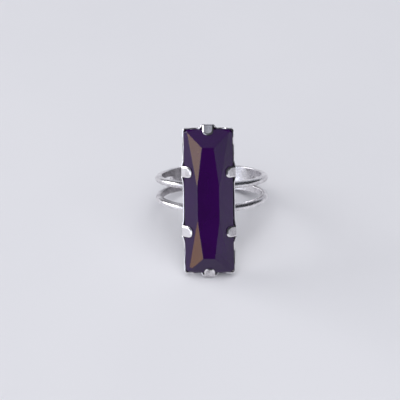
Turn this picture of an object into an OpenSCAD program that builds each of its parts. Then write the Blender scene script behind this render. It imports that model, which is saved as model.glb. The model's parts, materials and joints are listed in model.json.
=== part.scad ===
// Cocktail ring: a long faceted stone in a stamped six-prong setting, soldered across a split shank.
// Drawn about the finger hole: X across the stone, Y along the finger, Z from the finger to the stone.
// The finished ring is then leaned back on its setting and its palm edge, as it lies on a table.
// Lengths are in millimetres.

/* [Stone] */
// Length of the stone
stone_length = 24; // [21:0.5:27]
// Width of the stone
stone_width = 8; // [7:0.25:9]
// Height of the crown, from the girdle to the table
crown_height = 1.95; // [1.6:0.05:2.3]
// Thickness of the girdle
girdle_height = 0.4; // [0.3:0.05:0.5]
// Depth of the pavilion, from the girdle to the keel
pavilion_depth = 1.75; // [1.4:0.05:2.2]
// Length of the table
table_length = 18.6; // [16:0.2:18.8]
// Width of the table half way along the stone
table_middle = 3.6; // [3:0.1:4]
// Width of the table at each end
table_end = 1.9; // [1.6:0.1:2.4]
// Length of the straight stretch in the middle of the table
table_straight = 5.4; // [4:0.2:7]
// Size of the cut on each corner of the girdle
corner_cut = 0.55; // [0.4:0.05:0.7]

/* [Setting] */
// Thickness of the stamped sheet
sheet = 0.2; // [0.18:0.01:0.24]
// Thickness of a prong
prong_thickness = 0.3; // [0.24:0.02:0.34]
// Width of a prong
prong_width = 1.8; // [1.6:0.1:2]
// How far a side prong reaches over the edge of the stone
side_reach = 1.05; // [0.9:0.05:1.2]
// How far an end prong reaches over the edge of the stone
end_reach = 0.7; // [0.6:0.05:0.8]
// Distance between the two prongs on a long side
prong_spacing = 10; // [8:0.2:11]
// How far a side prong stands outside the plain wall
side_stand = 0.26; // [0.2:0.02:0.3]
// How far an end prong stands outside the plain wall
end_stand = 0.6; // [0.4:0.05:0.7]
// Length of the curve that leads the wall out to a side prong
side_flare = 1.1; // [0.8:0.1:1.4]
// Length of the curve that leads the wall out to an end prong
end_flare = 0.6; // [0.5:0.1:0.8]
// Lean of the wall below the stone's edge, towards the back
wall_lean = 25; // [15:1:30]
// Length of each open slot in the back of the setting
back_slot_length = 6; // [4:0.2:6.4]
// Width of each open slot in the back of the setting
back_slot_width = 2; // [1.4:0.1:2.2]

/* [Shank] */
// Diameter of the finger hole
finger_hole = 16.9; // [15.5:0.1:20]
// Thickness of the shank
band_thickness = 1.1; // [0.95:0.05:1.3]
// Width of each arm of the split shank
arm_width = 1.1; // [1:0.05:1.2]
// Distance between the centres of the two arms at the setting
arm_spread = 3.9; // [3.7:0.1:4.4]
// Distance between the centres of the two arms at the sides of the finger
arm_pinch = 3.3; // [3.2:0.1:3.5]
// Width of the solid palm stretch
palm_width = 4.2; // [4.1:0.1:4.6]
// Angle from the middle of the palm to the foot of the split
split_angle = 51; // [40:1:60]
// Gap between the two ends of the shank at the palm
palm_gap = 1.6; // [1.2:0.1:2.2]

/* [Hidden] */
$fn = 96;
spill = 1;               // how far a cutter runs past what it cuts
lap = 0.02;              // how far two joined shapes run into each other
silver = "#b9b6ba";

// Shank
bore_r = finger_hole / 2;
band_r = bore_r + band_thickness;
root_r = bore_r - 0.4;   // the arms start inside the finger hole, which is bored last
nose_r = arm_width / 2;
arm_tilt = asin((arm_spread - arm_pinch) / 2 / (band_r - nose_r));
palm_r = band_r + lap;   // the arms run out inside the solid stretch
palm_root_r = bore_r + 0.03; // the palm stretch is eased, so that the arms alone bear on a mandrel
palm_edge_r = 0.42;
split_r = 0.9;
split_centre = split_angle + asin(split_r / band_r);
tongue_r = 0.9;
file_depth = 0.1;        // the arms are filed flat by this much under the setting
solder_r = 0.8;
solder_length = 5.4;

// Heights above the finger axis
back_z = band_r - file_depth;
floor_z = back_z + sheet;
foil_t = 0.06;
keel_z = floor_z + foil_t;
girdle_low_z = keel_z + pavilion_depth;
girdle_z = girdle_low_z + girdle_height;
table_z = girdle_z + crown_height;
end_rise = 0.2;          // the end facets meet the end wall this far above the girdle edge
rim_z = girdle_z - 0.06;
collar_z = girdle_low_z - 0.15; // the wall stands upright above this and leans in below it

// Stone
half_l = stone_length / 2;
half_w = stone_width / 2;
end_facet_x = 2;         // half width of an end facet where it meets the end wall
kite_tip_x = half_w - 0.55; // the kite facets end in a point beside each girdle corner
kite_tip_y = half_l - 0.3;
side_fall = crown_height / (half_w - table_middle / 2);
side_slope = atan(side_fall);
end_slope = atan((crown_height - end_rise) / (half_l - table_length / 2));
keel_x = 0.45;
keel_y = half_l - 3.4;

// Setting
slack = 0.02;            // space between the stone and the plain wall
wall_x = half_w + slack + sheet;
wall_y = half_l + slack + sheet;
wall_corner_r = 0.6;
mid_side_bulge = 0.3;    // share of the bulge that the wall keeps between two side prongs
prong_bend_r = 0.5;
slot_y = 6.6;            // from the middle of the setting to the middle of a back slot
middle_dip = [6.5, 0.2]; // width and depth of the dips in the rim: between two side prongs,
side_dip = [3.6, 0.4];   // beyond a side prong,
side_dip_y = half_l - 3.2;
end_dip = [1.8, 0.55];   // and beside an end prong
end_dip_x = 2.1;
flare_steps = 8;
corner_step = 15;

// The lower end prong and the palm's lower edge lie on the table.
palm_foot_x = palm_gap / 2 + tongue_r;
palm_foot_z = sqrt(pow(palm_r - palm_edge_r, 2) - pow(palm_foot_x, 2));
prong_foot_y = wall_y + end_stand;
back_scale = 1 - (collar_z - back_z) * tan(wall_lean) / wall_y;

// The lean of the finger axis when a point of the end wall and the palm's edge touch the table.
function lean_on(y, z) =
    let (run = y - (palm_width / 2 - palm_edge_r), rise = z + palm_foot_z)
    atan(run / rise) - asin(palm_edge_r / norm([run, rise]));

rest_lean = max(lean_on(prong_foot_y, collar_z), lean_on(prong_foot_y * back_scale, back_z));

module at_rest() {
    rotate([90 - rest_lean, 0, 0]) children();
}

// ---------- stone ----------

// The four mirrored copies of a corner point.
function four(x, y, z) = [[x, y, z], [-x, y, z], [-x, -y, z], [x, -y, z]];

girdle_foot = concat(
    four(half_w, half_l - corner_cut, girdle_low_z),
    four(half_w - corner_cut, half_l, girdle_low_z)
);
crown_points = concat(
    four(table_end / 2, table_length / 2, table_z),
    four(table_middle / 2, table_straight / 2, table_z),
    four(half_w, half_l - corner_cut, girdle_z),
    four(half_w - corner_cut, half_l, girdle_z),
    four(end_facet_x, half_l, girdle_z + end_rise),
    four(kite_tip_x, kite_tip_y, table_z - (kite_tip_x - table_middle / 2) * side_fall)
);
keel_points = concat(
    four(keel_x, keel_y, keel_z),
    [[0, keel_y + keel_x, keel_z], [0, -keel_y - keel_x, keel_z]]
);

// The flat-sided solid that wraps a list of points.
module wrapped(points) {
    hull() polyhedron(points = points, faces = [[for (i = [0 : len(points) - 1]) i]]);
}

module stone() {
    wrapped(concat(crown_points, girdle_foot, keel_points));
}

module crystal() {
    color("#2e0846") at_rest() stone();
}

// A reflective coat under the whole pavilion.
module foil_backing() {
    color("#8d7c74") at_rest() difference() {
        translate([0, 0, -foil_t]) wrapped(concat(girdle_foot, keel_points));
        stone();
    }
}

// ---------- setting ----------

// A smooth fall from 1 to 0, as past goes from 0 to 1.
function fall(past) = (1 + cos(180 * min(max(past, 0), 1))) / 2;

// How far the long wall stands out at y, and the end wall at x.
function side_bulge(y) =
    let (past = (abs(abs(y) - prong_spacing / 2) - prong_width / 2) / side_flare,
         least = abs(y) < prong_spacing / 2 ? mid_side_bulge : 0)
    side_stand * (least + (1 - least) * fall(past));

function end_bulge(x) = end_stand * fall((abs(x) - prong_width / 2) / end_flare);

// Places along a wall where the curve that leads out to a prong has a point.
function stations(middle, flare) = [
    for (side = [-1, 1], i = [0 : flare_steps])
        middle + side * (prong_width / 2 + flare * (side < 0 ? flare_steps - i : i) / flare_steps)
];

side_stations = concat(stations(-prong_spacing / 2, side_flare), stations(prong_spacing / 2, side_flare));
end_stations = [for (x = stations(0, end_flare)) -x];

function corner(x, y, r, start) =
    [for (a = [start : corner_step : start + 90]) [x + r * cos(a), y + r * sin(a)]];

// The outline of the wall seen from the front, moved in by inset.
function wall_outline(inset) =
    let (
        r = wall_corner_r - inset,
        cx = wall_x - wall_corner_r,
        cy = wall_y - wall_corner_r,
        side = [for (y = side_stations) [wall_x - inset + side_bulge(y), y]],
        end = [for (x = end_stations) [x, wall_y - inset + end_bulge(x)]]
    )
    concat(
        side, corner(cx, cy, r, 0), end, corner(-cx, cy, r, 90),
        [for (p = side) -p], corner(-cx, -cy, r, 180), [for (p = end) -p], corner(cx, -cy, r, 270)
    );

// The space inside an outline: upright from the collar to the top, leaning in down to the foot.
module tray_form(inset, foot, top) {
    drop = collar_z - foot;
    shift = drop * tan(wall_lean);
    translate([0, 0, collar_z]) {
        linear_extrude(top - collar_z) polygon(wall_outline(inset));
        mirror([0, 0, 1])
            linear_extrude(drop, scale = [1 - shift / wall_x, 1 - shift / wall_y], slices = 1)
                polygon(wall_outline(inset));
    }
}

module back_slot() {
    straight = back_slot_length - back_slot_width;
    translate([0, 0, back_z - spill]) linear_extrude(sheet + 2 * spill) {
        square([back_slot_width, straight], center = true);
        for (end = [-1, 1]) translate([0, end * straight / 2]) circle(back_slot_width / 2);
    }
}

// A dip of the given width and depth in the rim, across a wall that runs along X.
module rim_dip(dip) {
    r = (pow(dip.x / 2, 2) + pow(dip.y, 2)) / (2 * dip.y);
    translate([0, 0, rim_z - dip.y + r]) rotate([90, 0, 0])
        cylinder(h = 2 * spill, r = r, center = true);
}

module tray() {
    difference() {
        tray_form(0, back_z, rim_z);
        tray_form(sheet, floor_z, rim_z + spill);
        for (end = [-1, 1]) {
            translate([0, end * slot_y, 0]) back_slot();
            for (side = [-1, 1]) {
                translate([side * end_dip_x, end * wall_y, 0]) rim_dip(end_dip);
                translate([end * wall_x, side * side_dip_y, 0]) rotate([0, 0, 90]) rim_dip(side_dip);
            }
            translate([end * wall_x, 0, 0]) rotate([0, 0, 90]) rim_dip(middle_dip);
        }
    }
}

// A prong in side view: its leg stands outside the stone, and it bends over to lie on a facet.
module prong_profile(edge, foot_z, slope, stand, reach) {
    inner_r = prong_bend_r - prong_thickness;
    outside = edge + slack + sheet + stand;
    bend_x = outside - prong_bend_r;
    bend_z = foot_z - (inner_r + (bend_x - edge) * sin(slope)) / cos(slope);
    turn = 90 - slope;
    far = 4 * prong_bend_r;
    translate([outside - prong_thickness, collar_z]) square([prong_thickness, bend_z - collar_z]);
    translate([bend_x, bend_z]) {
        intersection() {
            difference() {
                circle(prong_bend_r);
                circle(inner_r);
            }
            polygon([[0, 0], for (a = [0, turn / 2, turn]) far * [cos(a), sin(a)]]);
        }
        rotate(-slope) translate([-3 * reach, inner_r]) square([3 * reach + lap, prong_thickness]);
    }
}

module prong(edge, foot_z, slope, stand, reach) {
    intersection() {
        rotate([90, 0, 0]) linear_extrude(prong_width, center = true)
            prong_profile(edge, foot_z, slope, stand, reach);
        translate([edge - reach + prong_width / 2, 0, 0]) linear_extrude(2 * table_z) {
            circle(prong_width / 2);
            translate([0, -prong_width / 2]) square(prong_width);
        }
    }
}

module setting() {
    color(silver) at_rest() {
        tray();
        for (turn = [0, 180]) rotate([0, 0, turn]) {
            for (side = [-1, 1]) translate([0, side * prong_spacing / 2, 0])
                prong(half_w, girdle_z, side_slope, side_stand, side_reach);
            rotate([0, 0, 90]) prong(half_l, girdle_z + end_rise, end_slope, end_stand, end_reach);
        }
    }
}

// ---------- shank ----------

module finger_bore() {
    rotate([90, 0, 0]) cylinder(h = 3 * palm_width, r = bore_r, center = true);
}

module arm(side) {
    translate([0, side * arm_pinch / 2, 0]) rotate([90 - side * arm_tilt, 0, 0]) rotate_extrude() {
        translate([band_r - nose_r, 0]) circle(nose_r);
        translate([root_r, -nose_r]) square([band_r - nose_r - root_r, arm_width]);
    }
}

// The solid stretch across the palm, in which the two arms run out.
module palm() {
    flat = palm_width - 2 * palm_edge_r;
    rotate([90, 0, 0]) rotate([0, 0, 270 - split_centre]) rotate_extrude(angle = 2 * split_centre) {
        translate([palm_root_r, -palm_width / 2])
            square([palm_r - palm_edge_r - palm_root_r, palm_width]);
        translate([palm_root_r, -flat / 2]) square([palm_r - palm_root_r, flat]);
        for (side = [-1, 1]) translate([palm_r - palm_edge_r, side * flat / 2]) circle(palm_edge_r);
    }
}

// What is cut away between the two rounded ends of the shank.
module palm_opening() {
    cut = palm_gap + 2 * tongue_r;
    translate([0, 0, -palm_r - spill]) linear_extrude(band_thickness + 3 * spill) difference() {
        square([cut, palm_width + 2 * spill], center = true);
        for (end = [-1, 1]) translate([end * cut / 2, 0]) {
            square([2 * tongue_r, palm_width - 2 * tongue_r], center = true);
            for (side = [-1, 1]) translate([0, side * (palm_width / 2 - tongue_r)]) circle(tongue_r);
        }
    }
}

module shank_metal() {
    difference() {
        union() {
            arm(1);
            arm(-1);
            palm();
        }
        finger_bore();
        palm_opening();
        for (side = [-1, 1]) rotate([0, side * (180 - split_centre), 0])
            cylinder(h = 2 * band_r, r = split_r);
        translate([-band_r, -palm_width, back_z]) cube([2 * band_r, 2 * palm_width, spill]);
    }
}

module shank() {
    color(silver) at_rest() shank_metal();
}

// The solder that has run along each arm under the setting.
module solder_joints() {
    straight = solder_length - 2 * solder_r;
    color("#a5a3a8") at_rest() for (side = [-1, 1]) difference() {
        translate([0, side * arm_spread / 2, back_z]) {
            rotate([0, 90, 0]) cylinder(h = straight, r = solder_r, center = true);
            for (end = [-1, 1]) translate([end * straight / 2, 0, 0]) sphere(solder_r);
        }
        translate([-band_r, -palm_width, back_z]) cube([2 * band_r, 2 * palm_width, spill]);
        shank_metal();
    }
}

crystal();
foil_backing();
setting();
shank();
solder_joints();
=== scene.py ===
import json
import math

import bmesh
import bpy
from mathutils import Matrix, Vector, noise
from mathutils.geometry import tessellate_polygon


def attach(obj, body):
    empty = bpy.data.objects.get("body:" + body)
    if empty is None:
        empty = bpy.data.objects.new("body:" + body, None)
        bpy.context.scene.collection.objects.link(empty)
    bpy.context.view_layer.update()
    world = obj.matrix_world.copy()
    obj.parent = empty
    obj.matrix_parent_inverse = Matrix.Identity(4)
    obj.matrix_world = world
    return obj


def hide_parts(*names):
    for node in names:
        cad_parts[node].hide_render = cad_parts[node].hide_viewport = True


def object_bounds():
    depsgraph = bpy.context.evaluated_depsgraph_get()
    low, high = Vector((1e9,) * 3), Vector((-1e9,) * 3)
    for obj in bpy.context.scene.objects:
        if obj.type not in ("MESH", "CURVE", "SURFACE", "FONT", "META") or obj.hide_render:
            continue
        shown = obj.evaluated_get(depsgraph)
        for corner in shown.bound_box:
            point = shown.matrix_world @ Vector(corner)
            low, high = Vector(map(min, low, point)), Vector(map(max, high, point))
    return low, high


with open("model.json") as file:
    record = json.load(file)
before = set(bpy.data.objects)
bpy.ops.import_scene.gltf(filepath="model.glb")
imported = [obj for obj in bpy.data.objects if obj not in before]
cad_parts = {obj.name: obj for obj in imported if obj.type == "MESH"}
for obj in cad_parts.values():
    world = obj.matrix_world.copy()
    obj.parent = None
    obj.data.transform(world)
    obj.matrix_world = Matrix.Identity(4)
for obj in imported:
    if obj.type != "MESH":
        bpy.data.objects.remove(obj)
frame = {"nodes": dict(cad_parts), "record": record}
CAD_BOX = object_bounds()
MM = 0.001

# ---------------------------------------------------------------- the ring's own axes
# Points are written in millimetres about the finger hole: X across the stone, Y along the
# finger, Z from the finger to the stone. RING turns them into the frame, where the ring lies.

mount = next(m for m in frame["record"]["mounts"] if m["name"] == "finger_bore")
FINGER = Vector(mount["axis"]).normalized()
ACROSS = Vector((1, 0, 0))
FACING = ACROSS.cross(FINGER).normalized()
ORIGIN = Vector(mount["pos_m"])
RING = Matrix((ACROSS, FINGER, FACING)).transposed()


def at(x, y, z):
    return ORIGIN + RING @ Vector((x, y, z)) * MM


def ring_box(name):
    """The lowest and highest corners of a CAD node along the ring's own axes, in millimetres."""
    node = frame["nodes"][name]
    back = RING.transposed()
    points = [back @ (node.matrix_world @ v.co - ORIGIN) / MM for v in node.data.vertices]
    return [[pick(p[i] for p in points) for i in range(3)] for pick in (min, max)]


# ---------------------------------------------------------------- camera

def add_camera():
    """The photo's view: almost square on to the stone, from a little above it and to its right."""
    up_tilt, side_tilt, roll = map(math.radians, (12.0, 2.5, -0.75))
    distance, focal, sensor = 366.0, 200.3, 36.0
    stone_middle = Vector((0, 0, 11.7))
    aim_left, aim_up = 1.463, 0.2
    out = Vector((math.sin(side_tilt) * math.cos(up_tilt), math.sin(up_tilt),
                  math.cos(side_tilt) * math.cos(up_tilt)))
    right = Vector((0, 1, 0)).cross(out).normalized()
    up = out.cross(right)
    right, up = (right * math.cos(roll) + up * math.sin(roll),
                 up * math.cos(roll) - right * math.sin(roll))
    aim = stone_middle - right * aim_left + up * aim_up
    place = stone_middle + out * distance
    back = (place - aim).normalized()
    right = (right - back * right.dot(back)).normalized()
    up = back.cross(right)
    turn = RING @ Matrix((right, up, back)).transposed()
    data = bpy.data.cameras.new("camera")
    data.lens, data.sensor_width = focal, sensor
    data.clip_start, data.clip_end = 0.005, 5.0  # metres
    camera = bpy.data.objects.new("camera", data)
    camera.matrix_world = Matrix.Translation(at(*place)) @ turn.to_4x4()
    bpy.context.scene.collection.objects.link(camera)
    bpy.context.scene.camera = camera


add_camera()

# ---------------------------------------------------------------- node helpers

class Nodes:
    """A short way to write a node tree."""

    def __init__(self, tree):
        self.tree = tree

    def add(self, kind, settings=None, **sockets):
        node = self.tree.nodes.new(kind)
        for key, value in (settings or {}).items():
            setattr(node, key, value)
        for key, value in sockets.items():
            self.plug(node.inputs[key.replace("_", " ")], value)
        return node

    def plug(self, socket, value):
        if isinstance(value, bpy.types.NodeSocket):
            self.tree.links.new(value, socket)
        else:
            socket.default_value = value

    def noise(self, vector, scale, detail, rough=0.55):
        """Smooth noise of so many lumps a metre: 1000 makes them about a millimetre across."""
        node = self.add("ShaderNodeTexNoise", None, Vector=vector, Scale=scale, Detail=detail,
                        Roughness=rough)
        return node.outputs["Fac"]

    def ramp(self, value, low, high, to_low=0.0, to_high=1.0):
        """Ease from to_low, where value is low or less, to to_high, where it is high or more."""
        node = self.add("ShaderNodeMapRange", {"interpolation_type": "SMOOTHSTEP"}, Value=value)
        for key, number in zip(("From Min", "From Max", "To Min", "To Max"),
                               (low, high, to_low, to_high)):
            node.inputs[key].default_value = number
        return node.outputs["Result"]

    def math(self, operation, a, b):
        node = self.add("ShaderNodeMath", {"operation": operation})
        self.plug(node.inputs[0], a)
        self.plug(node.inputs[1], b)
        return node.outputs[0]

    def mix(self, factor, a, b):
        """A colour between a and b, each a plain (red, green, blue)."""
        node = self.add("ShaderNodeMix", {"data_type": "RGBA"})
        factor_in, a_in, b_in, color_out = 0, 6, 7, 2
        self.plug(node.inputs[factor_in], factor)
        self.plug(node.inputs[a_in], (*a, 1))
        self.plug(node.inputs[b_in], (*b, 1))
        return node.outputs[color_out]

    def scratches(self, vector, scale, turn):
        """Noise drawn out into fine lines."""
        node = self.add("ShaderNodeMapping", None, Vector=vector)
        node.inputs["Scale"].default_value = scale
        node.inputs["Rotation"].default_value = turn
        return self.noise(node.outputs["Vector"], 1.0, 2.0)

    def bump(self, height, distance, strength, normal=None):
        node = self.add("ShaderNodeBump", None, Height=height, Distance=distance,
                        Strength=strength)
        if normal is not None:
            self.plug(node.inputs["Normal"], normal)
        return node.outputs["Normal"]


def material(name):
    """A new material, its nodes, its shader and the place on the object that patterns follow."""
    made = bpy.data.materials.new(name)
    made.use_nodes = True
    tree = made.node_tree
    nodes = Nodes(tree)
    place = nodes.add("ShaderNodeTexCoord").outputs["Object"]
    return made, nodes, tree.nodes["Principled BSDF"], place


# ---------------------------------------------------------------- materials

def metal(name, bright, shaded, polish, grain):
    """Plated metal: grey with painted shade where the shade attribute is low, bright silver where
    it is high, with fine wear marks.
    """
    made, nodes, shader, place = material(name)
    shade = nodes.add("ShaderNodeAttribute", {"attribute_name": "shade"}).outputs["Fac"]
    cloud = nodes.noise(place, 420.0, 4.0)
    speck = nodes.noise(place, 2600.0, 3.0, 0.7)
    # The shade attribute is painted shade: low values paint the metal greyer and rougher, high
    # values brighter and smoother.
    lit_and_clean = nodes.math("ADD", shade, nodes.ramp(cloud, 0.3, 0.7, -0.18, 0.18))
    lit_and_clean = nodes.math("ADD", lit_and_clean, nodes.ramp(speck, 0.35, 0.75, 0.06, -0.16))
    lit_and_clean = nodes.ramp(lit_and_clean, 0.0, 0.9)
    nodes.plug(shader.inputs["Base Color"], nodes.mix(lit_and_clean, shaded, bright))
    shader.inputs["Metallic"].default_value = 1.0
    marks = nodes.scratches(place, (900.0, 6000.0, 7000.0), (0.3, 0.5, 0.2))
    cross_marks = nodes.scratches(place, (7000.0, 1100.0, 6000.0), (0.2, 0.1, 0.7))
    rough = nodes.math("ADD", nodes.ramp(cloud, 0.3, 0.7, polish - 0.05, polish + 0.07),
                       nodes.ramp(lit_and_clean, 0.0, 1.0, 0.22, 0.0))
    rough = nodes.math("ADD", rough, nodes.ramp(marks, 0.45, 0.7, -0.02, 0.06))
    nodes.plug(shader.inputs["Roughness"], rough)
    dents, dent_depth, mark_depth = nodes.noise(place, 700.0, 2.0), 0.04 * MM, 0.004 * MM
    uneven = nodes.bump(dents, dent_depth, grain)
    fine = nodes.bump(nodes.math("ADD", marks, cross_marks), mark_depth, 0.5, uneven)
    nodes.plug(shader.inputs["Normal"], fine)
    return made


def crystal():
    """Deep purple crystal, almost too dark to see into, with a faint film of handling."""
    made, nodes, shader, place = material("crystal")
    depth = nodes.ramp(nodes.noise(place, 120.0, 2.0), 0.35, 0.65)
    nodes.plug(shader.inputs["Base Color"],
               nodes.mix(depth, (0.037, 0.0005, 0.080), (0.044, 0.0008, 0.098)))
    shader.inputs["Transmission Weight"].default_value = 0.3
    shader.inputs["IOR"].default_value = 1.6
    shader.inputs["Specular Tint"].default_value = (0.65, 0.80, 0.62, 1)
    film = nodes.noise(place, 900.0, 4.0)
    nodes.plug(shader.inputs["Roughness"], nodes.ramp(film, 0.35, 0.75, 0.012, 0.05))
    rubs, rub_depth = nodes.scratches(place, (500.0, 4000.0, 5000.0), (0.4, 0.2, 0.9)), 0.0012 * MM
    nodes.plug(shader.inputs["Normal"], nodes.bump(rubs, rub_depth, 0.4))
    return made


def foil():
    """A thin bright coat with a lacquered, slightly crazed face."""
    made, nodes, shader, place = material("foil")
    patches = nodes.noise(place, 500.0, 4.0)
    nodes.plug(shader.inputs["Base Color"],
               nodes.mix(nodes.ramp(patches, 0.3, 0.7), (0.42, 0.34, 0.33), (0.62, 0.55, 0.55)))
    shader.inputs["Metallic"].default_value = 1.0
    nodes.plug(shader.inputs["Roughness"], nodes.ramp(patches, 0.3, 0.7, 0.2, 0.36))
    crazing = nodes.add("ShaderNodeTexVoronoi", {"feature": "DISTANCE_TO_EDGE"}, Vector=place,
                        Scale=900.0).outputs["Distance"]
    nodes.plug(shader.inputs["Normal"], nodes.bump(crazing, 0.03 * MM, 0.3))
    return made


def paper():
    """A matt white sheet with a faint tooth."""
    made, nodes, shader, place = material("paper")
    wash = nodes.ramp(nodes.noise(place, 14.0, 3.0), 0.3, 0.7)
    tooth = nodes.noise(place, 1500.0, 4.0, 0.65)
    nodes.plug(shader.inputs["Base Color"],
               nodes.mix(wash, (0.782, 0.778, 0.808), (0.805, 0.80, 0.828)))
    nodes.plug(shader.inputs["Roughness"], nodes.ramp(tooth, 0.3, 0.7, 0.72, 0.85))
    shader.inputs["Specular IOR Level"].default_value = 0.0
    nodes.plug(shader.inputs["Normal"], nodes.bump(tooth, 0.03 * MM, 0.25))
    return made


BRIGHT_SILVER, GREY_SILVER = (0.93, 0.91, 0.92), (0.30, 0.28, 0.30)
SETTING_SILVER = metal("plated_silver", BRIGHT_SILVER, GREY_SILVER, 0.15, 0.35)
SHANK_SILVER = metal("worn_silver", BRIGHT_SILVER, GREY_SILVER, 0.22, 0.35)
SOLDER = metal("solder_silver", (0.66, 0.65, 0.67), (0.34, 0.33, 0.35), 0.34, 0.9)
CRYSTAL = crystal()
FOIL = foil()
PAPER = paper()

# ---------------------------------------------------------------- mesh helpers

SKIN_WELD, CAD_WELD = 2e-8, 1e-6  # metres
FLAT_ANGLE = math.radians(0.4)


class Shape:
    """Points with a painted shade, from 0 for grey corners and shaded places to 1 for a bright
    edge, and the faces between them.
    """

    def __init__(self):
        self.points, self.shades, self.faces = [], [], []

    def row(self, places, shades):
        """Add a closed row of points and give back their numbers."""
        first = len(self.points)
        self.points += places
        self.shades += shades
        return list(range(first, len(self.points)))

    def skin(self, rows):
        """Join each row of point numbers to the next one."""
        for low, high in zip(rows, rows[1:]):
            for i in range(len(low)):
                j = (i + 1) % len(low)
                self.faces.append((low[i], low[j], high[j], high[i]))


def finish_mesh(mesh, sharp):
    """Weld points that meet, face everything outwards and keep edges sharper than an angle."""
    bm = bmesh.new()
    bm.from_mesh(mesh)
    bmesh.ops.remove_doubles(bm, verts=bm.verts, dist=SKIN_WELD)
    bmesh.ops.dissolve_degenerate(bm, edges=bm.edges, dist=SKIN_WELD)
    bmesh.ops.recalc_face_normals(bm, faces=bm.faces)
    for face in bm.faces:
        face.smooth = True
    for edge in bm.edges:
        edge.smooth = len(edge.link_faces) == 2 and edge.calc_face_angle(0) < sharp
    bm.to_mesh(mesh)
    bm.free()


def add_piece(name, mesh, look, node):
    """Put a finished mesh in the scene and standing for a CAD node."""
    piece = bpy.data.objects.new(name, mesh)
    bpy.context.scene.collection.objects.link(piece)
    mesh.materials.clear()
    mesh.materials.append(look)
    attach(piece, "root")
    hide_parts(node)


def add_shades(mesh, shades):
    """Store the shade that metal() reads, one for each point."""
    mesh.attributes.new("shade", "FLOAT", "POINT").data.foreach_set("value", shades)


def mesh_from(shape, name, sharp):
    mesh = bpy.data.meshes.new(name)
    mesh.from_pydata([at(*p) for p in shape.points], [], shape.faces)
    add_shades(mesh, shape.shades)
    finish_mesh(mesh, sharp)
    return mesh


def copy_of(name):
    """A new mesh for a CAD node's shape, in the frame, and that shape to edit, as bmesh."""
    node = frame["nodes"][name]
    mesh = node.data.copy()
    mesh.transform(node.matrix_world)
    bm = bmesh.new()
    bm.from_mesh(mesh)
    bmesh.ops.remove_doubles(bm, verts=bm.verts, dist=CAD_WELD)
    bmesh.ops.dissolve_limit(bm, angle_limit=FLAT_ANGLE, verts=bm.verts, edges=bm.edges)
    return mesh, bm


def blend(a, b, t):
    return a + (b - a) * t


def clamp(t):
    return min(max(t, 0.0), 1.0)


def ease(t):
    """A smooth step: 0 up to t = 0, and 1 from t = 1 on."""
    t = clamp(t)
    return t * t * (3 - 2 * t)


def wobble(x, y, z, size, amount):
    """A smooth unevenness, in lumps of one size, from -amount to amount."""
    return amount * noise.noise(Vector((x, y, z)) / size)


# ---------------------------------------------------------------- stone and its coat

def cut_stone():
    """The CAD's cut, with each edge between facets taken off very finely."""
    mesh, bm = copy_of("crystal")
    facet_edge = 0.03 * MM
    bmesh.ops.bevel(bm, geom=bm.edges, offset=facet_edge, segments=1, profile=0.5, affect="EDGES")
    bmesh.ops.recalc_face_normals(bm, faces=bm.faces)
    for face in bm.faces:
        face.smooth = False
    bm.to_mesh(mesh)
    bm.free()
    add_piece("cut_stone", mesh, CRYSTAL, "crystal")


def crinkled_foil():
    """The coat on the back of the stone, sunk a little below it and crinkled."""
    mesh, bm = copy_of("foil_backing")
    bmesh.ops.triangulate(bm, faces=bm.faces)
    longest, most_cuts = 0.9 * MM, 5
    for _ in range(most_cuts):
        long_edges = [e for e in bm.edges if e.calc_length() > longest]
        if not long_edges:
            break
        bmesh.ops.subdivide_edges(bm, edges=long_edges, cuts=1)
        bmesh.ops.triangulate(bm, faces=[f for f in bm.faces if len(f.verts) > 3])
    sink, crinkle_size, crinkle = 0.018 * MM, 0.8, 0.012 * MM
    for vert in bm.verts:
        vert.co -= FACING * (sink + abs(wobble(*vert.co / MM, crinkle_size, crinkle)))
    bmesh.ops.recalc_face_normals(bm, faces=bm.faces)
    for face in bm.faces:
        face.smooth = False
    bm.to_mesh(mesh)
    bm.free()
    add_piece("crinkled_foil", mesh, FOIL, "foil_backing")


# ---------------------------------------------------------------- setting

HALF_W, HALF_L, TABLE_Z = ring_box("crystal")[1]
BACK_Z = ring_box("setting")[0][2]
SHEET, SLACK = 0.2, 0.02  # the sheet's thickness, and the play between it and the stone
FLOOR_Z = BACK_Z + SHEET
WALL_X, WALL_Y = HALF_W + SLACK + SHEET, HALF_L + SLACK + SHEET
CORNER_R = 0.6
CROWN_H, TABLE_HALF_W, TABLE_HALF_L = 1.95, 1.8, 9.3  # the stone's cut
END_FACET_LIFT = 0.2  # the end facets start this much above the girdle
GIRDLE_Z = TABLE_Z - CROWN_H
COLLAR_Z = GIRDLE_Z - 0.55  # the wall is upright above this and leans in below it
RIM_Z = GIRDLE_Z - 0.06
WALL_LEAN = math.tan(math.radians(25))  # inward for each millimetre down
SLOT_Y, SLOT_L, SLOT_W = 6.6, 6.0, 2.0

# Each dip of the rim: its distance from the middle of the side, half its length and its depth.
MIDDLE_DIP, CORNER_DIP, END_DIP = (0.0, 3.25, 0.2), (8.8, 1.8, 0.4), (2.1, 0.9, 0.55)

PRONG_Y, PRONG_W, PRONG_T, BEND_R = 5.0, 1.8, 0.3, 0.5
SIDE_STAND, END_STAND = 0.26, 0.6  # how far a prong's leg stands out from the wall
SIDE_FLARE, END_FLARE = 1.1, 0.6  # the length of wall in which it comes back from that
SIDE_REACH, END_REACH, REACH_SHIFT = 1.05, 0.7, 0.08  # how far a tip lies over the stone
BLUNT = 2.7  # a prong's tip is rounded, but blunter than a half circle, which would be 2
TAB_ROWS = (0.12, 0.24, 0.36, 0.47, 0.57, 0.66)  # shares of the way from the bend to the tip
TIP_ROWS = (0.36, 0.28, 0.22, 0.165, 0.12, 0.08, 0.045, 0.02, 0.005, 0.0)  # before the tip
EDGE_COLUMNS = (0.0, 0.05, 0.11, 0.17, 0.22, 0.3, 0.5, 0.7)  # in from each edge

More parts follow.
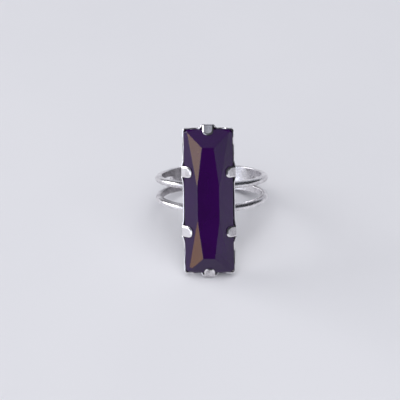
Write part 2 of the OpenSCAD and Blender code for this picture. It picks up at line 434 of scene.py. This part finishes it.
# How brightly the face of each prong is painted, by side and by end; the right-hand ones carry the
# most painted shade, as the side away from the light.
SIDE_PAINTED_LIGHT = {(-1, 1): 0.75, (-1, -1): 0.95, (1, 1): 0.62, (1, -1): 0.3}
END_PAINTED_LIGHT = {1: 0.6, -1: 0.5}


def side_bulge(y):
    """How far the long wall stands out: fully at a prong, and a little between the two."""
    past = (abs(abs(y) - PRONG_Y) - PRONG_W / 2) / SIDE_FLARE
    least = 0.3 if abs(y) < PRONG_Y else 0.0
    return SIDE_STAND * (least + (1 - least) * (1 - ease(past)))


def end_bulge(x):
    return END_STAND * (1 - ease((abs(x) - PRONG_W / 2) / END_FLARE))


def dip(offset, centre, half, depth):
    return depth * max(0.0, 1 - ((abs(offset) - centre) / half) ** 2)


def under_prong(offset):
    """How far the rim drops to pass beneath a prong."""
    depth, overlap, fade = 0.21, 0.1, 0.3
    return depth * (1 - ease((abs(offset) - PRONG_W / 2 + overlap) / fade))


def side_rim(y):
    lowered = max(dip(y, *MIDDLE_DIP), dip(y, *CORNER_DIP))
    return RIM_Z - max(lowered, under_prong(abs(y) - PRONG_Y))


def end_rim(x):
    return RIM_Z - max(dip(x, *END_DIP), under_prong(x))


def wall_stations():
    """Points round the outside of the wall: place, outward direction and rim height."""
    side_steps, end_steps, corner_steps, corner_lift = 100, 44, 7, 0.02
    straight_y, straight_x = WALL_Y - CORNER_R, WALL_X - CORNER_R
    half = []

    def corner(x, first):
        for i in range(corner_steps):
            a = math.radians(first + 90 * i / corner_steps)
            half.append((x + CORNER_R * math.cos(a), straight_y + CORNER_R * math.sin(a),
                         RIM_Z + corner_lift))

    for i in range(side_steps):
        y = straight_y * (2 * i / side_steps - 1)
        half.append((WALL_X + side_bulge(y), y, side_rim(y)))
    corner(straight_x, 0)
    for i in range(end_steps):
        x = straight_x * (1 - 2 * i / end_steps)
        half.append((x, WALL_Y + end_bulge(x), end_rim(x)))
    corner(-straight_x, 90)
    ring = half + [(-x, -y, z) for x, y, z in half]
    found = []
    for i, (x, y, z) in enumerate(ring):
        before, after = ring[i - 1], ring[(i + 1) % len(ring)]
        along = Vector((after[0] - before[0], after[1] - before[1])).normalized()
        found.append((x, y, along.y, -along.x, z))
    return found


def bent(points, radius, steps):
    """A profile of (inward, z, shade) points with each inner corner rounded."""
    most = 0.45  # a corner takes less than half of the line on either side of it
    out = [points[0]]
    for before, here, after in zip(points, points[1:], points[2:]):
        p, q, r = (Vector(v[:2]) for v in (before, here, after))
        reach = min(radius, (p - q).length * most, (r - q).length * most)
        start, stop = q + (p - q).normalized() * reach, q + (r - q).normalized() * reach
        for i in range(steps + 1):
            t = i / steps
            spot = start * (1 - t) ** 2 + q * 2 * t * (1 - t) + stop * t * t
            out.append((spot.x, spot.y, here[2]))
    return out + [points[-1]]


def slot_outline(centre_y, grow):
    """A slot with round ends, made larger all round by grow."""
    steps = 14
    r, straight = SLOT_W / 2 + grow, (SLOT_L - SLOT_W) / 2
    return [(r * math.cos(a), centre_y + math.copysign(straight, math.sin(a)) + r * math.sin(a))
            for a in (math.pi * (2 * i + 1) / (2 * steps) for i in range(2 * steps))]


def tray_walls(shape):
    """The sheet from the inside of the floor, up over the rim and down to the back: its rows."""
    stations = wall_stations()
    inner_lean, outer_lean = ((COLLAR_Z - z) * WALL_LEAN for z in (FLOOR_Z, BACK_Z))
    inner_top, outer_top = COLLAR_Z + 0.1, COLLAR_Z + 0.12
    inner_flat, outer_flat = 0.5, 0.75
    inner_fold, outer_fold = 0.15, 0.22
    lip, fall, rim_steps = 0.02, 0.12, 7
    lump, amount, smooth_below = 1.7, 0.02, BACK_Z + 0.4
    rows = []

    def ring(inset, inward, z_of, shade):
        """A row round the tray, inset from its outside and then drawn inward evenly."""
        places = []
        for x, y, nx, ny, rim in stations:
            px, py = x - nx * inset, y - ny * inset
            px, py = px * (1 - inward / WALL_X), py * (1 - inward / WALL_Y)
            z = z_of(rim)
            push = wobble(px, py, z, lump, amount) if z > smooth_below else 0.0
            places.append((px + nx * push, py + ny * push, z))
        rows.append(shape.row(places, [shade] * len(places)))

    # Painted shade: the inside of the tray is painted grey (0.1 to 0.35), the rim is left bright
    # (1.0) and the outer wall is a little greyer.
    inside = bent([(0.0, inner_top, 0.3), (0.0, COLLAR_Z, 0.3), (inner_lean, FLOOR_Z, 0.1),
                   (inner_lean + inner_flat, FLOOR_Z, 0.2)], inner_fold, 4)
    for inward, z, shade in reversed(inside):
        ring(SHEET, inward, lambda rim, z=z: z, shade)
    for share in (0.3, 0.7):
        ring(SHEET, 0.0, lambda rim, s=share: blend(inner_top, rim - fall, s), 0.35)
    ring(SHEET, 0.0, lambda rim: rim - lip, 0.6)
    for i in range(rim_steps + 1):
        a = math.pi / 2 * i / rim_steps
        ring((SHEET - lip) * (1 - math.sin(a)), 0.0,
             lambda rim, a=a: rim - fall * (1 - math.cos(a)), 1.0)
    for share in (0.9, 0.6, 0.3):
        ring(0.0, 0.0, lambda rim, s=share: blend(outer_top, rim - fall, s), 0.64)
    outside = bent([(0.0, outer_top, 0.66), (0.0, COLLAR_Z, 0.75), (outer_lean, BACK_Z, 0.8),
                    (outer_lean + outer_flat, BACK_Z, 0.6)], outer_fold, 5)
    # Two rows in the outer fold are painted a little greyer (0.6), painted shade in the crease.
    greyer = [(blend(outside[5][0], outside[6][0], t), blend(outside[5][1], outside[6][1], t), 0.6)
              for t in (0.33, 0.66)]
    for inward, z, shade in outside[:6] + greyer + outside[6:]:
        ring(0.0, inward, lambda rim, z=z: z, shade)
    shape.skin(rows)
    return rows


def tray(shape):
    """The sheet-metal tray, with two slots through its floor."""
    rows = tray_walls(shape)
    slots, bevel, shade = (-SLOT_Y, SLOT_Y), 0.04, 0.75
    levels = []
    for z, grow in ((FLOOR_Z, bevel), (FLOOR_Z - bevel, 0.0), (BACK_Z + bevel, 0.0),
                    (BACK_Z, bevel)):
        outlines = [slot_outline(y, grow) for y in slots]
        levels.append([shape.row([(x, y, z) for x, y in outline], [shade] * len(outline))
                       for outline in outlines])
    for slot in zip(*levels):
        shape.skin(slot)
    for rim, holes in ((rows[0], levels[0]), (rows[-1], levels[-1])):
        loops = [rim] + holes
        numbers = [n for loop in loops for n in loop]
        flat = [[Vector(shape.points[n]) for n in loop] for loop in loops]
        shape.faces += [tuple(numbers[i] for i in tri) for tri in tessellate_polygon(flat)]


def prong_path(edge, foot_z, slope, stand, tip_x):
    """The middle line of a prong's outer face: (x, z, outward x, outward z) up to its tip."""
    inner_r = BEND_R - PRONG_T
    outside = edge + SLACK + SHEET + stand
    bend_x = outside - BEND_R
    bend_z = foot_z - (inner_r + (bend_x - edge) * math.sin(slope)) / math.cos(slope)
    turn, bend_steps = math.pi / 2 - slope, 8
    path = [(outside - tuck, bend_z - down, 1.0, 0.0)
            for tuck, down in ((0.08, 0.45), (0.05, 0.2), (0.006, 0.07))]
    for i in range(bend_steps + 1):
        a = turn * i / bend_steps
        path.append((bend_x + BEND_R * math.cos(a), bend_z + BEND_R * math.sin(a),
                     math.cos(a), math.sin(a)))
    last_x, last_z, nx, nz = path[-1]
    reach = last_x - tip_x
    runs = [reach * share for share in TAB_ROWS] + [reach - short for short in TIP_ROWS]
    return path + [(last_x - run, last_z + run * math.tan(slope), nx, nz)
                   for run in sorted(set(runs))]


def prong(shape, edge, foot_z, slope, stand, reach, lit_and_clean, place):
    """One bent tab: a leg outside the stone, a round bend, and a tip with a bevelled rim.

    It is made as if on the side x = edge, and place() turns each point to where the prong is.
    """
    r, tip_x = PRONG_W / 2, edge - reach
    leg_bevel, tab_bevel = (0.07, 0.05), (0.21, 0.15)  # its width and its depth
    first_tab_row, tab_rows = 3, 7
    lump, amount = 0.7, 0.012
    back = PRONG_T - 0.01
    bright_edge, rim_shade, rim_share = 0.3, 0.05, 0.25
    columns = ([-1 + gap / r for gap in EDGE_COLUMNS] + [0.0]
               + [1 - gap / r for gap in reversed(EDGE_COLUMNS)])
    rows = []
    # The tip is half of a superellipse: half is how wide it is at a row, and gap how far a
    # point is from its outline.
    for k, (x, z, nx, nz) in enumerate(prong_path(edge, foot_z, slope, stand, tip_x)):
        past = (tip_x + r) - x
        half = r * max(1 - (past / r) ** BLUNT, 0.0) ** (1 / BLUNT) if past > 0 else r
        on_tab = ease((k - first_tab_row) / tab_rows)
        width, depth = (blend(a, b, on_tab) for a, b in zip(leg_bevel, tab_bevel))
        top, bottom, shades = [], [], []
        for u in columns:
            y = u * half
            gap = r - (past ** BLUNT + abs(y) ** BLUNT) ** (1 / BLUNT) if past > 0 else r - abs(y)
            out = (wobble(x + edge, y + 3 * foot_z, z + slope * 9, lump, amount)
                   - depth * (1 - clamp(gap / width)))
            top.append(place(x + nx * out, y, z + nz * out))
            bottom.append(place(x - nx * back, y, z - nz * back))
            # Painted shade: the bevelled edge is painted bright (0.95) and the face takes its
            # prong's painted brightness.
            shades.append(blend(0.95, lit_and_clean, clamp(gap / bright_edge)))
        # The rim under the top face and the underside are painted dark (0.05 and 0.0), as painted
        # shade beneath the tab.
        rim = [[blend(a, b, rim_share) for a, b in zip(top[i], bottom[i])] for i in (-1, 0)]
        rows.append(shape.row(top + rim[:1] + bottom[::-1] + rim[1:],
                              shades + [rim_shade] + [0.0] * len(columns) + [rim_shade]))
    shape.skin(rows)
    shape.faces += [tuple(rows[0]), tuple(rows[-1])]


def build_setting():
    shape = Shape()
    tray(shape)
    side_slope = math.atan(CROWN_H / (HALF_W - TABLE_HALF_W))
    end_slope = math.atan((CROWN_H - END_FACET_LIFT) / (HALF_L - TABLE_HALF_L))
    for sx in (-1, 1):
        for sy in (-1, 1):
            prong(shape, HALF_W, GIRDLE_Z, side_slope, SIDE_STAND, SIDE_REACH - REACH_SHIFT * sx,
                  SIDE_PAINTED_LIGHT[sx, sy],
                  lambda x, y, z, sx=sx, sy=sy: (sx * x, sy * PRONG_Y + sx * y, z))
        prong(shape, HALF_L, GIRDLE_Z + END_FACET_LIFT, end_slope, END_STAND, END_REACH,
              END_PAINTED_LIGHT[sx], lambda x, y, z, s=sx: (-s * y, s * x, z))
    name, sharp = "pronged_setting", math.radians(24)
    add_piece(name, mesh_from(shape, name, sharp), SETTING_SILVER, "setting")


# ---------------------------------------------------------------- shank

BORE_R = mount["dims"]["r_mm"]
BAND_R = BORE_R + 1.1
ARM_W, ARM_PINCH, ARM_RISE = 1.1, 3.3, 0.3  # pinch and rise place the arms along the finger
PALM_R, PALM_HALF_W, PALM_EDGE_R = BAND_R + 0.02, 2.1, 0.42
SPLIT_R, TONGUE_R, PALM_GAP = 0.9, 0.9, 1.6
SPLIT_CENTRE = math.radians(51) + math.asin(SPLIT_R / BAND_R)
PALM_START = math.asin(PALM_GAP / 2 / BAND_R)
SMALL_R = 0.09  # the rounding of the edges against the finger


def shank_angles():
    """Angles from the middle of the palm, close together at the rounded ends and the split."""
    tongue_steps, palm_steps, split_steps, arm_steps = 12, 22, 14, 66
    angles = [PALM_START + TONGUE_R / BAND_R * (1 - math.cos(math.pi / 2 * i / tongue_steps))
              for i in range(tongue_steps + 1)]
    tongue, crotch = angles[-1], SPLIT_CENTRE - SPLIT_R / BAND_R
    angles += [blend(tongue, crotch, (i + 1) / palm_steps) for i in range(palm_steps)]
    angles += [SPLIT_CENTRE - SPLIT_R / BAND_R * math.cos(math.pi / 2 * (i + 1) / split_steps)
               for i in range(split_steps)]
    angles += [blend(SPLIT_CENTRE, math.pi, (i + 1) / arm_steps) for i in range(arm_steps)]
    return angles + [2 * math.pi - a for a in reversed(angles[:-1])]


def shank_sides(a):
    """Where one half's section starts and ends, from the middle, and how much it is palm."""
    middle = ARM_PINCH / 2 - ARM_RISE * math.cos(a)
    palm = 1 - ease((a - SPLIT_CENTRE + 0.12) / 0.32)
    outer = blend(middle + ARM_W / 2, PALM_HALF_W, palm)
    along = (a - PALM_START) * BAND_R
    if along < TONGUE_R:
        outer -= TONGUE_R - math.sqrt(max(TONGUE_R ** 2 - (TONGUE_R - along) ** 2, 0.0))
    inner = middle - ARM_W / 2
    before = (SPLIT_CENTRE - a) * BAND_R
    if before >= SPLIT_R:
        inner = 0.0
    elif before > 0:
        inner *= math.sqrt(1 - (before / SPLIT_R) ** 2)
    return inner, outer, palm


def shank_section(angle):
    """The section of one strip: (y, radius, shade) points from the inner wall outwards.

    The shade is None on the bore, which build_shank paints darker on the left than on the right,
    as painted shade.
    """
    a = min(angle, 2 * math.pi - angle)
    inner, outer, palm = shank_sides(a)
    bore = blend(BORE_R, BORE_R + 0.03, palm)
    top = blend(BAND_R, PALM_R, palm)
    from_end, worn_length, worn_depth = (a - PALM_START) * BAND_R, 0.3, 0.16
    top -= worn_depth * (1 - ease(from_end / worn_length))
    edge = blend(ARM_W / 2, PALM_EDGE_R, palm)
    # The split's own edges are rounded only where the two arms have parted.
    round_in = (ARM_W / 2) * ease(inner / 0.95)
    small_in = SMALL_R * ease(inner / 0.3)
    # Where they part is a corner, painted greyer as painted shade.
    from_split = abs(SPLIT_CENTRE - a) * BAND_R
    lit_and_clean = 1 - 0.75 * (1 - ease(inner / 0.6)) * ease(1 - from_split / 2.2)
    points = []

    def arc(cy, cr, ry, rr, first, last, steps, shade):
        for i in range(steps + 1):
            t = math.radians(blend(first, last, i / steps))
            points.append((cy + ry * math.cos(t), cr + rr * math.sin(t), shade))

    arc(inner + small_in, bore + SMALL_R, small_in, SMALL_R, 180, 270, 4, None)
    for share in (0.06, 0.28, 0.5, 0.72, 0.94):
        points.append((blend(inner + small_in, outer - SMALL_R, share), bore, None))
    arc(outer - SMALL_R, bore + SMALL_R, SMALL_R, SMALL_R, 270, 360, 4, 0.6)
    points.append((outer, blend(bore + SMALL_R, top - edge, 0.5), 0.55))
    arc(outer - edge, top - edge, edge, edge, 0, 90, 9, 0.7)
    for share in (0.1, 0.35, 0.65, 0.9):
        points.append((blend(outer - edge, inner + round_in, share), top, 0.66 * lit_and_clean))
    arc(inner + round_in, top - ARM_W / 2, round_in, ARM_W / 2, 90, 180, 9, 0.6 * lit_and_clean)
    # The split's inner wall, between the arms, is painted grey (0.35): painted shade.
    points.append((inner, blend(bore + SMALL_R, top - ARM_W / 2, 0.5), 0.35))
    return points


def build_shank():
    """Two mirrored halves, each a strip, that meet along the middle of the palm."""
    shape = Shape()
    lump, amount, off_bore = 3.0, 0.025, BORE_R + 0.05
    bore_painted_shade, bore_bright, bore_fade = 0.3, 0.75, 8
    setting_shade, setting_z, setting_fade = 0.25, 8.3, 0.8
    for side in (-1, 1):
        rows = []
        for angle in shank_angles():
            places, shades = [], []
            for y, radius, shade in shank_section(angle):
                if radius > off_bore:
                    x, z = radius * math.sin(angle), -radius * math.cos(angle)
                    radius += wobble(x * 2, side * y, z * 2, lump, amount)
                x, z = radius * math.sin(angle), -radius * math.cos(angle)
                places.append((x, side * y, min(z, BACK_Z)))
                # Painted shade: the bore is painted darker on the left side than on the right.
                if shade is None:
                    shade = blend(bore_painted_shade, bore_bright, ease(x / bore_fade + 0.5))
                # Painted shade: the shank is painted darker where it runs up under the setting.
                under = ease((z - setting_z) / setting_fade)
                shades.append(blend(shade, setting_shade, under))
            rows.append(shape.row(places, shades))
        shape.skin(rows)
        shape.faces += [tuple(rows[0]), tuple(rows[-1])]
    seam = 1e-6  # faces no further from the middle than this would lie inside the palm
    shape.faces = [f for f in shape.faces if any(abs(shape.points[i][1]) > seam for i in f)]
    name, sharp = "split_shank", math.radians(40)
    add_piece(name, mesh_from(shape, name, sharp), SHANK_SILVER, "shank")


# ---------------------------------------------------------------- solder

def build_solder():
    """The CAD's two runs, melted round by a remesh and left lumpy."""
    mesh, bm = copy_of("solder_joints")
    bm.to_mesh(mesh)
    bm.free()
    rough = bpy.data.objects.new("solder_rough", mesh)
    bpy.context.scene.collection.objects.link(rough)
    remesh = rough.modifiers.new("remesh", "REMESH")
    remesh.mode, remesh.voxel_size = "VOXEL", 0.07 * MM
    smooth = rough.modifiers.new("smooth", "SMOOTH")
    smooth.factor, smooth.iterations = 0.5, 4
    ready = rough.evaluated_get(bpy.context.evaluated_depsgraph_get())
    made = bpy.data.meshes.new_from_object(ready)
    made.name = "solder_fillets"
    bpy.data.objects.remove(rough)
    lump, amount, sink = 0.5, 0.05, 0.02
    shades = []
    for vert in made.vertices:
        height = wobble(*vert.co / MM, lump, amount)
        vert.co += vert.normal * (height - sink) * MM
        shades.append(0.55 + 4 * height)
    add_shades(made, shades)
    for face in made.polygons:
        face.use_smooth = True
    add_piece("solder_fillets", made, SOLDER, "solder_joints")


cut_stone()
crinkled_foil()
build_setting()
build_shank()
build_solder()

# ---------------------------------------------------------------- floor, light and world

def add_floor():
    """The sheet of paper that the ring lies on."""
    half_size, squares = 0.6, 24
    mesh = bpy.data.meshes.new("floor")
    bm = bmesh.new()
    bmesh.ops.create_grid(bm, x_segments=squares, y_segments=squares, size=half_size)
    bm.to_mesh(mesh)
    bm.free()
    mesh.materials.append(PAPER)
    floor = bpy.data.objects.new("floor", mesh)
    floor.location = (0, 0, CAD_BOX[0][2])
    bpy.context.scene.collection.objects.link(floor)


def add_area(name, place, aim, size, watts, color):
    """A rectangular light at a place in the frame, in metres, that faces another."""
    data = bpy.data.lights.new(name, "AREA")
    data.shape = "RECTANGLE"
    data.size, data.size_y = size
    data.energy = watts
    data.color = color
    light = bpy.data.objects.new(name, data)
    light.location = place
    light.rotation_euler = (Vector(place) - Vector(aim)).to_track_quat("Z", "Y").to_euler()
    bpy.context.scene.collection.objects.link(light)
    return light


def add_lights():
    """A window low on the left, a broad fill from above, and two cards that the stone reflects."""
    ring = (0, 0, 0)
    add_area("window", (-0.62, 0.20, 0.22), ring, (0.5, 0.3), 2.1, (1.0, 0.99, 0.98))
    fill = add_area("fill", (0.10, -0.20, 0.62), ring, (0.9, 0.9), 4.25, (0.98, 0.985, 1.0))
    fill.visible_glossy = fill.visible_transmission = False
    only_stone = bpy.data.collections.new("seen_in_stone")
    only_stone.objects.link(bpy.data.objects["cut_stone"])
    card_x, bronze = -0.030, (1.0, 0.47, 0.02)
    for name, y, z, size, watts in (("warm_card_high", -0.025, 0.018, (0.009, 0.0096), 0.00079),
                                    ("warm_card_low", -0.0357, -0.0022, (0.006, 0.011), 0.00067)):
        card = add_area(name, (card_x, y, z), (0, y, z), size, watts, bronze)
        card.visible_camera = card.visible_diffuse = card.visible_transmission = False
        card.light_linking.receiver_collection = only_stone


def add_world():
    """A dim room: a low window on the left, pale walls at the right and the back, a soft ceiling.

    Beyond the paper the camera sees a plain pale background instead.
    """
    world = bpy.data.worlds.new("studio")
    world.use_nodes = True
    nodes = Nodes(world.node_tree)
    way = nodes.add("ShaderNodeTexCoord").outputs["Generated"]
    height = nodes.add("ShaderNodeSeparateXYZ", None, Vector=way).outputs["Z"]

    def toward(aim, low, high, dim, bright):
        """A glow round one direction, by the cosine of the angle from it."""
        dot = nodes.add("ShaderNodeVectorMath", {"operation": "DOT_PRODUCT"})
        nodes.plug(dot.inputs[0], way)
        dot.inputs[1].default_value = Vector(aim).normalized()
        return nodes.ramp(dot.outputs["Value"], low, high, dim, bright)

    window = nodes.math("MULTIPLY", toward((-0.93, -0.30, 0.05), 0.3, 0.9, 0.05, 1.6),
                        nodes.ramp(height, 0.2, 0.6, 1.0, 0.12))
    right_wall = toward((0.79, -0.59, 0.10), 0.93, 0.98, 0.0, 0.6)
    back_wall = toward((0.15, 0.97, 0.20), 0.80, 0.97, 0.0, 0.45)
    ceiling = nodes.ramp(height, 0.80, 1.0, 0.05, 0.45)
    backdrop = nodes.math("MULTIPLY", nodes.add("ShaderNodeLightPath").outputs["Is Camera Ray"],
                          0.74)
    glow = window
    for part in (right_wall, back_wall, ceiling, backdrop):
        glow = nodes.math("MAXIMUM", glow, part)
    shader = world.node_tree.nodes["Background"]
    shader.inputs["Color"].default_value = (0.89, 0.93, 1.05, 1)
    nodes.plug(shader.inputs["Strength"], glow)
    bpy.context.scene.world = world


add_floor()
add_lights()
add_world()
bpy.context.scene.view_settings.view_transform = "Standard"
